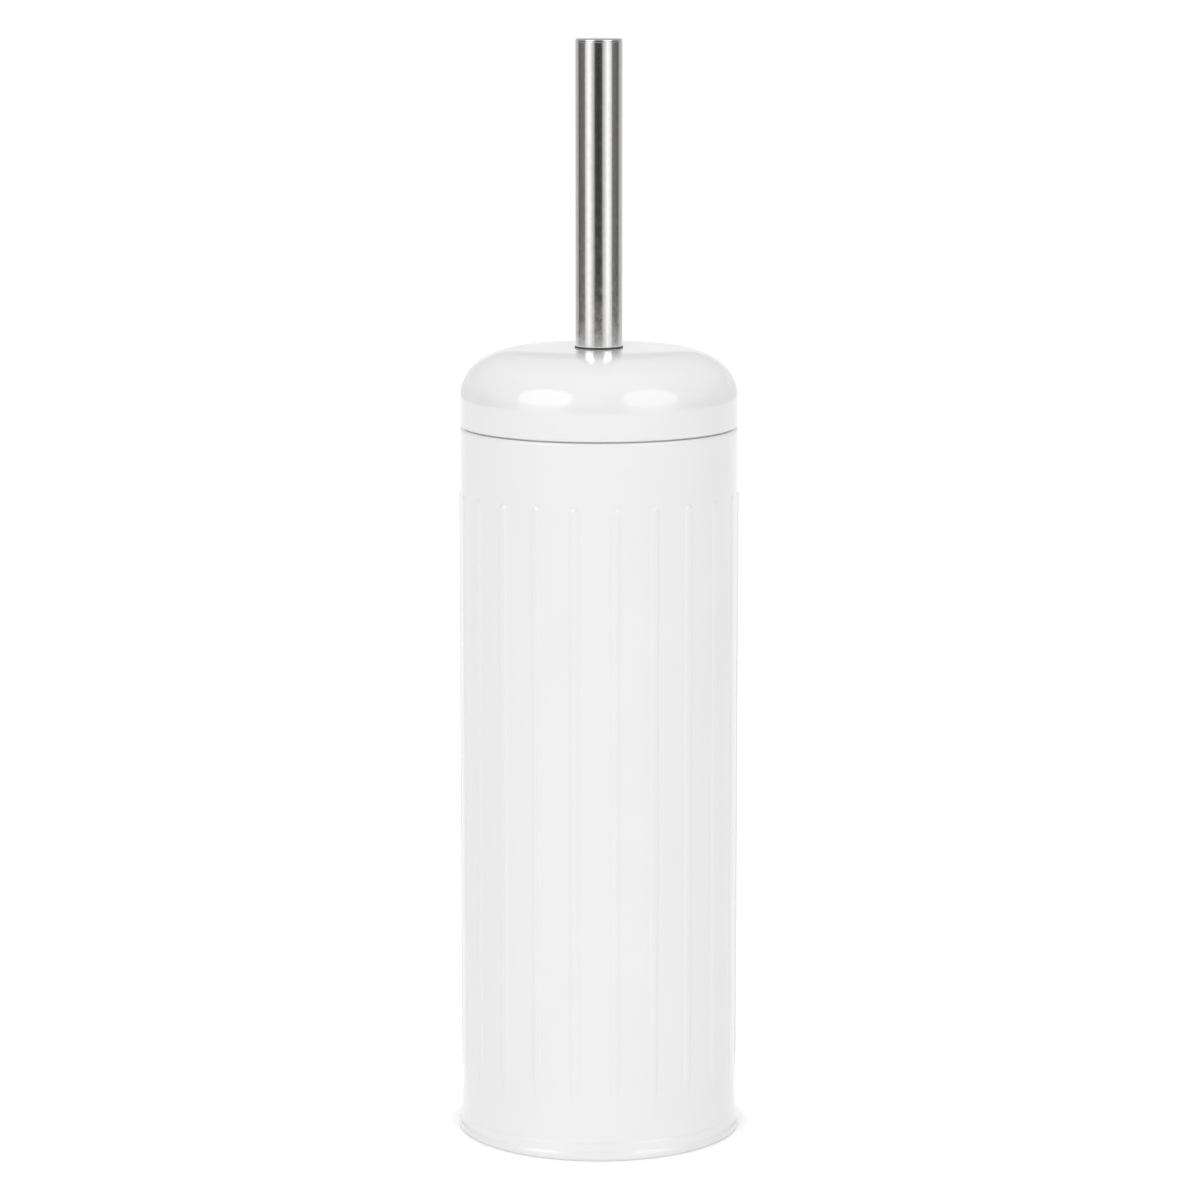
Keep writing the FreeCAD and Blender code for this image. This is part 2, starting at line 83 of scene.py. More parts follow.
class Finish:  # a material and what it is made of
    def __init__(self, name, constants):
        self.material = bpy.data.materials.new(name)
        self.material.use_nodes = True
        self.tree = self.material.node_tree
        self.shader = self.tree.nodes["Principled BSDF"]
        for socket, value in constants.items():
            self.shader.inputs[socket].default_value = value
        self.place = self.node("ShaderNodeTexCoord", output="Object")

    def node(self, kind, settings=None, inputs=None, output=0):
        made = self.tree.nodes.new(kind)
        for key, value in (settings or {}).items():
            if key == "stops":
                self.setStops(made.color_ramp, value)
            else:
                setattr(made, key, value)
        for key, value in (inputs or {}).items():
            if isinstance(value, Signal):
                self.tree.links.new(value.socket, made.inputs[key])
            else:
                made.inputs[key].default_value = value
        return Signal(self, made.outputs[output])

    def setStops(self, ramp, stops):
        while len(ramp.elements) < len(stops):
            ramp.elements.new(0.5)
        for element, (position, colour) in zip(ramp.elements, stops):
            element.position = position
            element.color = colour

    def stretched(self, scale):  # object coordinates scaled along each axis
        return self.node("ShaderNodeMapping", inputs={"Vector": self.place, "Scale": scale}, output="Vector")

    def noise(self, size, detail=2.0, rough=0.5, place=None):  # features about size metres across
        inputs = {"Vector": place or self.place, "Scale": 1 / size, "Detail": detail, "Roughness": rough}
        return self.node("ShaderNodeTexNoise", inputs=inputs)

    def blend(self, mask, low, high):  # colour from low to high as mask goes from 0 to 1
        settings = {"data_type": "RGBA"}
        return self.node("ShaderNodeMix", settings, {0: mask, 6: low, 7: high}, output=2)

    def drive(self, socket, value):
        self.tree.links.new(value.socket, self.shader.inputs[socket])

    def relief(self, *layers):  # (height signal, depth in metres) layers, chained into the normal
        below = None
        for height, depth in layers:
            inputs = {"Height": height, "Distance": depth, "Strength": 1.0}
            if below:
                inputs["Normal"] = below
            below = self.node("ShaderNodeBump", inputs=inputs)
        self.drive("Normal", below)


def grey(level, warm=0.0):
    return (level * (1 + warm), level, level * (1 - warm), 1.0)


enamel = {
    "base": grey(0.83), "toned": grey(0.82, 0.001),           # even white with a faint cloud in it
    "roughness": (0.07, 0.12), "wearSize": 9 * mm,
    "peelSize": 1.5 * mm, "peelDepth": 0.0012 * mm,           # orange peel of sprayed powder
    "waveSize": 30 * mm, "waveDepth": 0.01 * mm,              # the sheet under it is not quite true
    "speckSize": 0.9 * mm, "speckShare": 0.12, "speck": grey(0.6, 0.01),
}


def makeEnamel():
    made = Finish("whiteEnamel", {"IOR": 1.5, "Coat Weight": 0.4, "Coat Roughness": 0.02})
    cloud = made.noise(enamel["waveSize"], 3.0)
    wear = made.noise(enamel["wearSize"], 5.0, 0.65)
    smudge = (wear * 0.6 + cloud * 0.4).between(0.42, 0.62)
    speck = made.noise(enamel["speckSize"], 1.0).between(0.76, 0.80)
    tone = made.blend(cloud.between(0.35, 0.65), enamel["base"], enamel["toned"])
    made.drive("Base Color", made.blend(speck * enamel["speckShare"], tone, enamel["speck"]))
    low, high = enamel["roughness"]
    made.drive("Roughness", smudge * (high - low) + low)
    peel = made.noise(enamel["peelSize"], 2.0, 0.4)
    made.relief((cloud, enamel["waveDepth"]), (peel, enamel["peelDepth"]))
    return made.material


steel = {
    "bright": (0.67, 0.66, 0.65, 1), "dull": (0.60, 0.59, 0.58, 1),
    "roughness": (0.06, 0.12),
    "streakAcross": 0.3 * mm, "streakAlong": 22 * mm, "streakDepth": 0.0007 * mm,
    "mottleSize": 2.2 * mm, "mottleDepth": 0.0006 * mm, "smearSize": 14 * mm,
}


def makeSteel():
    made = Finish("satinStainless", {"Metallic": 1.0, "IOR": 2.5})
    across, along = 1 / steel["streakAcross"], 1 / steel["streakAlong"]
    grain = made.stretched((across, across, along))
    streak = made.noise(1.0, 3.0, 0.6, grain)
    mottle = made.noise(steel["mottleSize"], 4.0, 0.7)
    smear = made.noise(steel["smearSize"], 3.0, 0.6)
    shade = (mottle * 0.5 + streak * 0.5).between(0.35, 0.65)
    made.drive("Base Color", made.blend(shade, steel["dull"], steel["bright"]))
    low, high = steel["roughness"]
    made.drive("Roughness", (smear * 0.5 + mottle * 0.5).between(0.36, 0.64, low, high))
    made.relief((streak, steel["streakDepth"]), (mottle, steel["mottleDepth"]))
    return made.material


zinc = {
    "light": (0.60, 0.61, 0.63, 1), "dark": (0.43, 0.44, 0.46, 1),
    "flakeSize": 3.5 * mm, "cloudSize": 12 * mm, "roughness": (0.28, 0.46),
    "grainSize": 0.7 * mm, "grainDepth": 0.003 * mm,
}


def makeZinc():
    made = Finish("zincSheet", {"Metallic": 1.0})
    flakes = made.node("ShaderNodeTexVoronoi", {"feature": "F1"},
                       {"Vector": made.place, "Scale": 1 / zinc["flakeSize"]}, output="Color")
    shade = made.node("ShaderNodeSeparateColor", inputs={"Color": flakes})
    cloud = made.noise(zinc["cloudSize"], 4.0, 0.6)
    made.drive("Base Color", made.blend(shade * 0.6 + cloud * 0.4, zinc["dark"], zinc["light"]))
    low, high = zinc["roughness"]
    made.drive("Roughness", shade * (high - low) + low)
    made.relief((made.noise(zinc["grainSize"], 3.0), zinc["grainDepth"]))
    return made.material


bolts = {
    "light": (0.70, 0.71, 0.74, 1), "dark": (0.48, 0.49, 0.52, 1), "roughness": (0.20, 0.42),
    "ringSize": 2.2 * mm, "ringSquash": 14, "ringDepth": 0.004 * mm, "stainSize": 3 * mm,
}


def makeBolts():
    made = Finish("zincPlate", {"Metallic": 1.0})
    turning = made.stretched((1, 1, bolts["ringSquash"]))
    rings = made.noise(bolts["ringSize"], 3.0, 0.6, turning)
    stain = made.noise(bolts["stainSize"], 5.0, 0.7)
    made.drive("Base Color", made.blend(stain.between(0.35, 0.6), bolts["dark"], bolts["light"]))
    low, high = bolts["roughness"]
    made.drive("Roughness", stain.between(0.4, 0.65, high, low))
    made.relief((rings, bolts["ringDepth"]))
    return made.material


nylon = {
    "base": (0.022, 0.022, 0.024, 1), "rubbed": (0.06, 0.06, 0.064, 1), "roughness": (0.20, 0.45),
    "rubSize": 0.8 * mm, "rubDepth": 0.006 * mm,
}


def makeNylon():
    made = Finish("darkNylon", {"IOR": 1.5})
    rub = made.noise(nylon["rubSize"], 4.0, 0.6)
    made.drive("Base Color", made.blend(rub.between(0.5, 0.7), nylon["base"], nylon["rubbed"]))
    low, high = nylon["roughness"]
    made.drive("Roughness", rub * (high - low) + low)
    made.relief((rub, nylon["rubDepth"]))
    return made.material


cupPlastic = {
    "base": (0.74, 0.75, 0.755, 1), "cloud": (0.70, 0.71, 0.715, 1), "roughness": (0.34, 0.50),
    "flowSize": 25 * mm, "flowDepth": 0.03 * mm,              # marks of the plastic's flow up the mould
    "scuffSize": 2.5 * mm, "grainSize": 0.35 * mm, "grainDepth": 0.004 * mm,
}


def makeCupPlastic():
    made = Finish("cupPlastic", {"IOR": 1.49, "Subsurface Weight": 0.12, "Subsurface Scale": 0.004})
    flow = made.noise(cupPlastic["flowSize"], 3.0, 0.6, made.stretched((1, 1, 0.3)))
    scuff = made.noise(cupPlastic["scuffSize"], 5.0, 0.7)
    made.drive("Base Color", made.blend(flow.between(0.3, 0.7), cupPlastic["base"], cupPlastic["cloud"]))
    low, high = cupPlastic["roughness"]
    made.drive("Roughness", scuff.between(0.4, 0.7, low, high))
    grain = made.noise(cupPlastic["grainSize"], 1.0)
    made.relief((grain, cupPlastic["grainDepth"]), (flow, cupPlastic["flowDepth"]))
    return made.material


corePlastic = {
    "base": (0.80, 0.80, 0.79, 1), "cloud": (0.75, 0.75, 0.735, 1), "roughness": (0.22, 0.36),
    "flowSize": 8 * mm, "grainSize": 0.6 * mm, "grainDepth": 0.004 * mm,
}


def makeCorePlastic():
    made = Finish("corePlastic", {"IOR": 1.49, "Subsurface Weight": 0.1, "Subsurface Scale": 0.003})
    flow = made.noise(corePlastic["flowSize"], 3.0, 0.6)
    made.drive("Base Color", made.blend(flow.between(0.3, 0.7), corePlastic["base"], corePlastic["cloud"]))
    low, high = corePlastic["roughness"]
    made.drive("Roughness", flow.between(0.35, 0.65, low, high))
    made.relief((made.noise(corePlastic["grainSize"], 2.0), corePlastic["grainDepth"]))
    return made.material


bristleNylon = {
    "light": (0.82, 0.82, 0.80, 1), "dark": (0.70, 0.70, 0.675, 1), "roughness": (0.28, 0.42),
    "eachSize": 1.1 * mm,                                     # about one filament
}


def makeBristle():
    made = Finish("bristleNylon", {"IOR": 1.53, "Subsurface Weight": 0.15, "Subsurface Scale": 0.001})
    each = made.noise(bristleNylon["eachSize"], 2.0, 0.6)
    shade = each.between(0.3, 0.7)
    made.drive("Base Color", made.blend(shade, bristleNylon["light"], bristleNylon["dark"]))
    low, high = bristleNylon["roughness"]
    made.drive("Roughness", each.between(0.3, 0.7, low, high))
    return made.material


finishes = {
    "white_enamel": makeEnamel(),
    "stainless": makeSteel(),
    "zinc_sheet": makeZinc(),
    "zinc_fastener": makeBolts(),
    "dark_nylon": makeNylon(),
    "cup_plastic": makeCupPlastic(),
    "core_plastic": makeCorePlastic(),
    "bristle_nylon": makeBristle(),
}
slotOf = {part["node"]: part["material_slot"] for part in frame["record"]["subparts"]}
bodyOf = {node: body for body, nodes in frame["record"]["behaviour"]["bodies"].items() for node in nodes}
print("finishes made:", len(finishes))


def arc(centre, radius, start, end, steps):  # points of an arc, angles in degrees, both ends included
    turns = [radians(start + (end - start) * step / steps) for step in range(steps + 1)]
    return [(centre[0] + radius * cos(turn), centre[1] + radius * sin(turn)) for turn in turns]


straight = {"long": 2 * mm, "held": 0.25 * mm}


def heldFlat(outline):  # a point just inside each end of a long straight run keeps its shading flat
    points = []
    for start, end in zip(outline, outline[1:]):
        points.append(start)
        length = hypot(end[0] - start[0], end[1] - start[1])
        if length > straight["long"]:
            for share in (straight["held"] / length, 1 - straight["held"] / length):
                points.append(tuple(Vector(start).lerp(Vector(end), share)))
    return points + outline[-1:]


def spun(outline, steps, closed=True):  # turn an outline of (radius, height) about the axis
    outline = heldFlat(outline + outline[:1])[:-1] if closed else heldFlat(outline)
    bm = bmesh.new()
    corners = [bm.verts.new((radius, 0, height)) for radius, height in outline]
    edges = [bm.edges.new(pair) for pair in zip(corners, corners[1:])]
    if closed:
        edges.append(bm.edges.new((corners[-1], corners[0])))
    bmesh.ops.spin(bm, geom=corners + edges, cent=(0, 0, 0), axis=upAxis, angle=2 * pi, steps=steps,
                   use_merge=True, use_duplicate=False)
    bmesh.ops.remove_doubles(bm, verts=bm.verts, dist=0.002 * mm)
    bmesh.ops.recalc_face_normals(bm, faces=bm.faces)
    return bm


def finishPiece(bm, name, nodes, sharpAngle=38):
    node = nodes[0]
    for face in bm.faces:
        face.smooth = True
    for edge in bm.edges:
        edge.smooth = len(edge.link_faces) == 2 and edge.calc_face_angle(0) < radians(sharpAngle)
    mesh = bpy.data.meshes.new(name)
    bm.to_mesh(mesh)
    bm.free()
    piece = bpy.data.objects.new(name, mesh)
    bpy.context.scene.collection.objects.link(piece)
    mesh.materials.append(finishes[slotOf[node]])
    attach(piece, bodyOf[node])
    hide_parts(*nodes)
    print(name, len(mesh.polygons), "faces")
    return piece


canister = {
    "wall": 0.5 * mm, "radius": 47.5 * mm,
    "shoulder": 245.8 * mm, "shoulderRound": 0.8 * mm,
    "neck": 45.9 * mm, "neckFillet": 0.4 * mm, "curl": 1.0 * mm,
    "rimRound": 1.2 * mm, "rimFlat": 0.6 * mm,
    "flareRadius": 48.0 * mm, "flareHeight": 5.8 * mm, "flareTilt": 8,
    "rollRound": 1.2 * mm, "sweepRound": 0.6 * mm, "rollHeight": 1.9 * mm, "rollTilt": 35,
    "heelRadius": 47.82 * mm, "heelHeight": 6.6 * mm, "heelRound": 1.5 * mm, "taperHeight": 14 * mm,
    "beads": 22, "firstBead": 6.54 - 90,                     # degrees from +X
    "beadRise": 0.36 * mm, "beadHalf": 1.75 * mm, "beadCrown": 0.5,
    "beadTop": 224 * mm, "beadBottom": 14.5 * mm,
    "beadFade": 16 * mm, "fadeSteps": 16, "plainSteps": 3,
    "endReach": 3 * mm, "endStep": 0.3 * mm, "endSteps": 12,  # close rows where the beads round off
    "stepsPerBead": 20,
    "stepsOnBead": 15, "beadShare": 0.28,                     # of a pitch, taken by those steps
}


def arcThrough(start, end, radius, turn, steps):  # arc between two points, turning left (+1) or right (-1)
    across, up = end[0] - start[0], end[1] - start[1]
    chord = hypot(across, up)
    rise = sqrt(max(radius ** 2 - chord ** 2 / 4, 0)) * turn
    centre = ((start[0] + end[0]) / 2 - up / chord * rise, (start[1] + end[1]) / 2 + across / chord * rise)
    first = Vector((start[0] - centre[0], start[1] - centre[1]))
    half = acos(rise * turn / radius)
    points = []
    for step in range(steps + 1):
        turned = first.copy()
        turned.rotate(Matrix.Rotation(2 * half * step / steps * turn, 2))
        points.append((centre[0] + turned.x, centre[1] + turned.y))
    return points


def wallLine(inset):  # the wall's outline from the rim up to the neck, inset from the painted face
    c = canister
    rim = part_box("canister_body")[1].x
    lean, steep = radians(c["flareTilt"]), radians(c["rollTilt"])
    out, up = cos(steep), sin(steep)
    roll = (rim - c["rollRound"], c["rollHeight"])
    rollEnd = (roll[0] + c["rollRound"] * out, roll[1] + c["rollRound"] * up)
    sweep = c["sweepRound"]
    gap = rollEnd[0] - sweep * (cos(lean) - out) - c["flareRadius"]
    room = c["flareHeight"] - rollEnd[1] - sweep * (up - sin(lean))
    run = (gap - room * tan(lean)) / (1 - tan(lean) / tan(steep))  # how far in the steep part goes
    start = (rollEnd[0] - run, rollEnd[1] + run / tan(steep))
    centre = (start[0] + sweep * out, start[1] + sweep * up)
    line = arc(roll, c["rollRound"] - inset, 0, c["rollTilt"], 5)
    line += arc(centre, sweep + inset, 180 + c["rollTilt"], 180 + c["flareTilt"], 4)
    line.append((c["flareRadius"] - inset, c["flareHeight"]))
    heel = (c["heelRadius"] - inset, c["heelHeight"])
    line += arcThrough(line[-1], heel, c["heelRound"] + inset, -1, 3)[1:]
    line.append((c["radius"] - inset, c["taperHeight"]))
    fade = [c["beadBottom"] + c["beadFade"] * step / c["fadeSteps"] for step in range(c["fadeSteps"] + 1)]
    top = c["beadTop"] - c["endReach"]
    plain = [fade[-1] + (top - fade[-1]) * step / c["plainSteps"] for step in range(1, c["plainSteps"])]
    ends = [top + c["endStep"] * step for step in range(c["endSteps"] + 1)]
    line += [(c["radius"] - inset, height) for height in fade + plain + ends]
    edge = (c["radius"] - c["shoulderRound"], c["shoulder"] - c["shoulderRound"])
    line += arc(edge, c["shoulderRound"] - inset, 0, 90, 6)
    fillet = (c["neck"] + c["neckFillet"], c["shoulder"] + c["neckFillet"])
    line += arc(fillet, c["neckFillet"] + inset, 270, 180, 4)
    return line


def canisterOutline():
    c = canister
    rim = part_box("canister_body")[1].x
    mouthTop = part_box("canister_body")[1].z - c["curl"]
    outer, inner = wallLine(0), wallLine(c["wall"])
    curlCentre = (c["neck"] - c["curl"], mouthTop)
    curl = arc(curlCentre, c["curl"], 0, 200, 12) + arc(curlCentre, c["curl"] - c["wall"], 200, 0, 8)
    foot = (rim - c["rimRound"], c["rimRound"])
    footIn = (foot[0] - c["rimFlat"], c["rimRound"])
    inside = c["rimRound"] - c["wall"]
    rollIn = arc(foot, inside, 0, -90, 6) + arc(footIn, inside, -90, -190, 7)
    rollOut = arc(footIn, c["rimRound"], -190, -90, 9) + arc(foot, c["rimRound"], -90, 0, 9)[:-1]
    return outer + curl + inner[::-1] + rollIn + rollOut


def beadRise(offset, height):  # how far the sheet is pressed out, offset metres round from a bead's middle
    c = canister
    roundEnd = c["beadTop"] - c["beadHalf"]
    grow = min(max((height - c["beadBottom"]) / c["beadFade"], 0), 1)
    grow = grow * grow * (3 - 2 * grow)
    reach = hypot(offset, max(height - roundEnd, 0)) / (c["beadHalf"] * (0.5 + 0.5 * grow))
    flank = min(max((reach - c["beadCrown"]) / (1 - c["beadCrown"]), 0), 1)
    return c["beadRise"] * grow * (0.5 + 0.5 * cos(pi * flank))


def pressBeads(bm):  # crowd the steps round each bead, then push the sheet out
    c = canister
    pitch = 2 * pi / c["beads"]
    crowd = c["stepsOnBead"] / c["stepsPerBead"]
    for vert in bm.verts:
        turn = Vector((vert.co.x, vert.co.y)).angle_signed(Vector((1, 0)), 0) % (2 * pi)
        bead = round(turn / pitch)
        share = turn / pitch - bead
        side = 1 if share >= 0 else -1
        share = abs(share) * 2
        if share <= crowd:
            share *= c["beadShare"] / crowd
        else:
            share = c["beadShare"] + (share - crowd) * (1 - c["beadShare"]) / (1 - crowd)
        offset = side * share * pitch / 2
        radius = hypot(vert.co.x, vert.co.y)
        turned = bead * pitch + offset + radians(c["firstBead"])
        if c["beadBottom"] < vert.co.z < c["beadTop"] + mm:
            radius += beadRise(offset * c["radius"], vert.co.z)
        vert.co.x = radius * cos(turned)
        vert.co.y = radius * sin(turned)


def makeCanister():
    bm = spun(canisterOutline(), canister["beads"] * canister["stepsPerBead"])
    pressBeads(bm)
    finishPiece(bm, "canisterShell", ["canister_body"])


makeCanister()

baseDisc = {"sheet": 0.5 * mm, "round": 1.6 * mm, "grooveRadius": 28 * mm, "grooveWidth": 6 * mm,
            "grooveDepth": 0.8 * mm, "steps": 180}


def makeBaseDisc():
    d = baseDisc
    low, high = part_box("base_disc")
    edge, top = high.x, high.z
    bend = (d["grooveWidth"] ** 2 / 4 + d["grooveDepth"] ** 2) / (2 * d["grooveDepth"])
    nearSide, farSide = d["grooveRadius"] - d["grooveWidth"] / 2, d["grooveRadius"] + d["grooveWidth"] / 2
    corner = (edge - d["round"], top - d["round"])

    def groove(height):
        return arcThrough((nearSide, height), (farSide, height), bend, 1, 10)

    under = top - d["sheet"]
    outline = [(0, top)] + groove(top) + arc(corner, d["round"], 90, 0, 8)
    outline += [(edge, low.z), (edge - d["sheet"], low.z)]
    outline += arc(corner, d["round"] - d["sheet"], 0, 90, 6) + groove(under)[::-1] + [(0, under)]
    finishPiece(spun(outline, d["steps"], closed=False), "baseDisc", ["base_disc"])


makeBaseDisc()

cup = {"wall": 1.5 * mm, "corner": 5 * mm, "lipTall": 3 * mm, "lipWide": 1.2 * mm, "edge": 0.6 * mm,
       "lipRound": 0.4 * mm, "taper": 2.0 * mm, "steps": 200, "gateRadius": 2.2 * mm, "gateRise": 0.4 * mm}


def makeCup():
    c = cup
    low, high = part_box("liner_cup")
    lip, top, base = high.x, high.z, low.z
    shell = lip - c["lipWide"]
    foot = shell - c["taper"]
    innerTop = shell - c["wall"]
    outline = [(0, base)] + arc((foot - c["corner"], base + c["corner"]), c["corner"], 270, 360, 8)
    under, bend = top - c["lipTall"], c["lipRound"]
    outline += arc((shell + bend, under - bend), bend, 180, 90, 4)
    outline += arc((lip - bend, under + bend), bend, 270, 360, 4)
    outline += arc((lip - c["edge"], top - c["edge"]), c["edge"], 0, 90, 6)
    outline += arc((innerTop + c["edge"], top - c["edge"]), c["edge"], 90, 180, 6)
    outline += arc((foot - c["corner"], base + c["corner"]), c["corner"] - c["wall"], 0, -90, 8)
    floor = base + c["wall"]
    outline += arc((c["gateRadius"], floor + c["gateRise"]), c["gateRise"], 270, 180, 3)
    outline += [(0, floor + c["gateRise"] * 0.7)]
    finishPiece(spun(outline, c["steps"], closed=False), "dripCup", ["liner_cup"])


makeCup()

lid = {
    "sheet": 0.6 * mm, "hemFold": 1.25 * mm, "hemTall": 4 * mm, "hemRound": 0.8 * mm, "hemInner": 0.4 * mm,
    "foldEdge": 0.3 * mm, "skirt": 9.45 * mm, "knuckle": 15.3 * mm, "knuckleAngle": 62, "crown": 32 * mm,
    "hole": 4.2 * mm, "holeEdge": 0.15 * mm, "flatRadius": 9 * mm, "flatEnds": 15, "steps": 240,
}


def makeLid():
    d = lid
    low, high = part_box("lid_shell")
    edge, top, foot = high.x, high.z, low.z
    skirtTop = foot + d["skirt"]
    knuckleAt = (edge - d["knuckle"], skirtTop)
    drop = d["crown"] - d["knuckle"]
    bend = radians(d["knuckleAngle"])
    crownAt = (knuckleAt[0] - drop * cos(bend), skirtTop - drop * sin(bend))
    inner = d["sheet"]
    hemOut = (edge - d["hemRound"], foot + d["hemRound"])
    hemIn = (edge - d["hemFold"] + d["hemInner"], foot + d["hemInner"])
    hole = d["hole"]
    outline = [(hole, top - d["holeEdge"]), (hole + d["holeEdge"], top)]
    shoulder = radians(d["flatEnds"])
    meets = Vector((crownAt[0] + d["crown"] * sin(shoulder), crownAt[1] + d["crown"] * cos(shoulder)))
    pull = Vector((crownAt[0] + d["crown"] * tan(shoulder / 2), top))
    for step in range(21):  # the flat turns down gently, with no crease where the shoulder starts
        share = step / 20
        onFlat = Vector((d["flatRadius"], top)).lerp(pull, share)
        outline.append(tuple(onFlat.lerp(pull.lerp(meets, share), share)))
    outline += arc(crownAt, d["crown"], 90 - d["flatEnds"], d["knuckleAngle"], 10)[1:]
    outline += arc(knuckleAt, d["knuckle"], d["knuckleAngle"], 0, 26)[1:]
    outline += [(edge, skirtTop - d["skirt"] / 2)]
    outline += arc(hemOut, d["hemRound"], 0, -90, 8) + arc(hemIn, d["hemInner"], 270, 180, 5)
    fold, folded, bevel = foot + d["hemTall"], edge - d["hemFold"], d["foldEdge"]
    outline += [(folded, fold - bevel), (folded + bevel, fold), (edge - inner, fold)]
    outline += arc(knuckleAt, d["knuckle"] - inner, 0, d["knuckleAngle"], 18)
    outline += arc(crownAt, d["crown"] - inner, d["knuckleAngle"], 90, 10)[1:]
    outline += [(hole, top - inner)]
    shell = finishPiece(spun(outline, d["steps"]), "lidShell", ["lid_shell"])
    shell.visible_glossy = False  # the handle's bright and dark stripes run down to its foot


makeLid()

handle = {
    "wall": 0.8 * mm, "edge": 0.12 * mm, "steps": 128, "capEdge": 0.6 * mm, "capCrown": 0.12 * mm,
    "capCurve": ((0.35, 0.12), (0.7, 0.5)), "capStart": 82,   # shares of radius and of crown, then degrees
    "capThick": 1.0 * mm, "gasketRound": 0.12 * mm, "studBore": 4.05 * mm, "washerEdge": 0.3 * mm,
    "stemWall": 0.6 * mm, "stemEdge": 0.2 * mm,
}


def ringOutline(inner, outer, low, high, edge):  # a tube wall with rounded edges
    corners = ((outer - edge, low + edge, 270), (outer - edge, high - edge, 0),
               (inner + edge, high - edge, 90), (inner + edge, low + edge, 180))
    return [point for x, z, start in corners for point in arc((x, z), edge, start, start + 90, 4)]


def makeRing(name, node, inner, edge):
    low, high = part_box(node)
    finishPiece(spun(ringOutline(inner, high.x, low.z, high.z, edge), handle["steps"]), name, [node])


def makeEndCap():
    d = handle
    low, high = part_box("handle_end_cap")
    edge, top = high.x, high.z
    under = top - d["capThick"]
    rimTop = top - d["capCrown"]
    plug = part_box("handle_plug")[1].x
    outline = [(0, top)] + [(edge * out, top - d["capCrown"] * down) for out, down in d["capCurve"]]
    outline += arc((edge - d["capEdge"], rimTop - d["capEdge"]), d["capEdge"], d["capStart"], 0, 8)
    hollow = plug - d["wall"]
    outline += [(edge, under), (plug, under), (plug, low.z), (hollow, low.z), (hollow, under), (0, under)]
    finishPiece(spun(outline, d["steps"], closed=False), "handleEndCap", ["handle_end_cap"])


makeRing("handleTube", "handle_tube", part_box("handle_tube")[1].x - handle["wall"], handle["edge"])
makeEndCap()
makeRing("handleGasket", "handle_gasket", handle["studBore"], handle["gasketRound"])
makeRing("lidWasher", "lid_washer", handle["studBore"], handle["washerEdge"])
makeRing("stemTube", "stem_tube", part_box("stem_tube")[1].x - handle["stemWall"], handle["stemEdge"])

bristle = {
    "radius": 0.21 * mm, "sides": 5, "sections": 4, "perTuft": 30, "rootSpread": 0.86 * mm,
    "splay": 3.0, "droop": 2.2 * mm, "trim": 0.45 * mm, "stray": 0.5 * mm, "tip": 0.62,
    "variants": 6, "seed": 12, "coreRadius": 9 * mm, "seat": 1.5 * mm, "centre": 37 * mm, "rowPitch": 8 * mm,
    "rows": 8, "rowTufts": 16, "sideAngle": 35, "sideReach": 34 * mm, "sideTufts": 12,
    "endAngle": 70, "endReach": 25 * mm, "endTufts": 5,
}
chance = random.Random(bristle["seed"])


def filamentMesh(bend):  # one filament of unit length along +Z, thinner to the tip and bent towards +X
    bm = bmesh.new()
    made = bmesh.ops.create_circle(bm, segments=bristle["sides"], radius=bristle["radius"], cap_ends=False)
    loop = list({edge for vert in made["verts"] for edge in vert.link_edges})
    for section in range(1, bristle["sections"] + 1):
        grown = bmesh.ops.extrude_edge_only(bm, edges=loop)["geom"]
        verts = [item for item in grown if isinstance(item, bmesh.types.BMVert)]
        loop = [item for item in grown if isinstance(item, bmesh.types.BMEdge)]
        bmesh.ops.translate(bm, verts=verts, vec=(bend * (2 * section - 1) / bristle["sections"] ** 2, 0,
                                                  1 / bristle["sections"]))
        if section == bristle["sections"]:
            middle = sum((vert.co for vert in verts), Vector()) / len(verts)
            bmesh.ops.scale(bm, vec=(bristle["tip"], bristle["tip"], 1), verts=verts,
                            space=Matrix.Translation(-middle))
            bmesh.ops.contextual_create(bm, geom=loop)
    bmesh.ops.recalc_face_normals(bm, faces=bm.faces)
    for face in bm.faces:
        face.smooth = len(face.verts) == 4
    mesh = bpy.data.meshes.new("filament")
    bm.to_mesh(mesh)
    bm.free()
    return mesh


bends = [step / (bristle["variants"] - 1) for step in range(bristle["variants"])]
filaments = [filamentMesh(bristle["droop"] * bend) for bend in bends]


def plantTuft(bm, root, along, length):
    side = along.orthogonal().normalized()
    other = along.cross(side)
    golden = pi * (3 - sqrt(5))
    for number in range(bristle["perTuft"]):
        away = sqrt((number + 0.5) / bristle["perTuft"]) * bristle["rootSpread"]
        turn = number * golden
        offset = side * (away * cos(turn)) + other * (away * sin(turn))
        start = root + offset
        stray = Vector([chance.uniform(-1, 1) for axis in range(3)]) * bristle["stray"]
        tip = root + along * length + offset * bristle["splay"] + stray
        reach = (tip - start).length + chance.uniform(-1, 0) * bristle["trim"]
        aim = (tip - start).normalized()
        spin = Matrix.Rotation(chance.uniform(0, 2 * pi), 4, "Z")
        shape = Matrix.Translation(start) @ aim.to_track_quat("Z", "Y").to_matrix().to_4x4() @ spin
        before = len(bm.verts)
        bm.from_mesh(chance.choice(filaments))
        bm.verts.ensure_lookup_table()
        fresh = bm.verts[before:]
        bmesh.ops.transform(bm, matrix=shape @ Matrix.Diagonal((1, 1, reach, 1)), verts=fresh)


def makeTufts(name, node, height, angle, reach, count, halfTurn):
    b = bristle
    bm = bmesh.new()
    start = b["coreRadius"] - b["seat"]
    for number in range(count):
        turn = 2 * pi * (number + halfTurn / 2) / count
        along = Vector((cos(turn) * cos(angle), sin(turn) * cos(angle), -sin(angle)))
        root = Vector((0, 0, height)) + along * start
        plantTuft(bm, root, along, reach - start)
    finishPiece(bm, name, [node], sharpAngle=60)


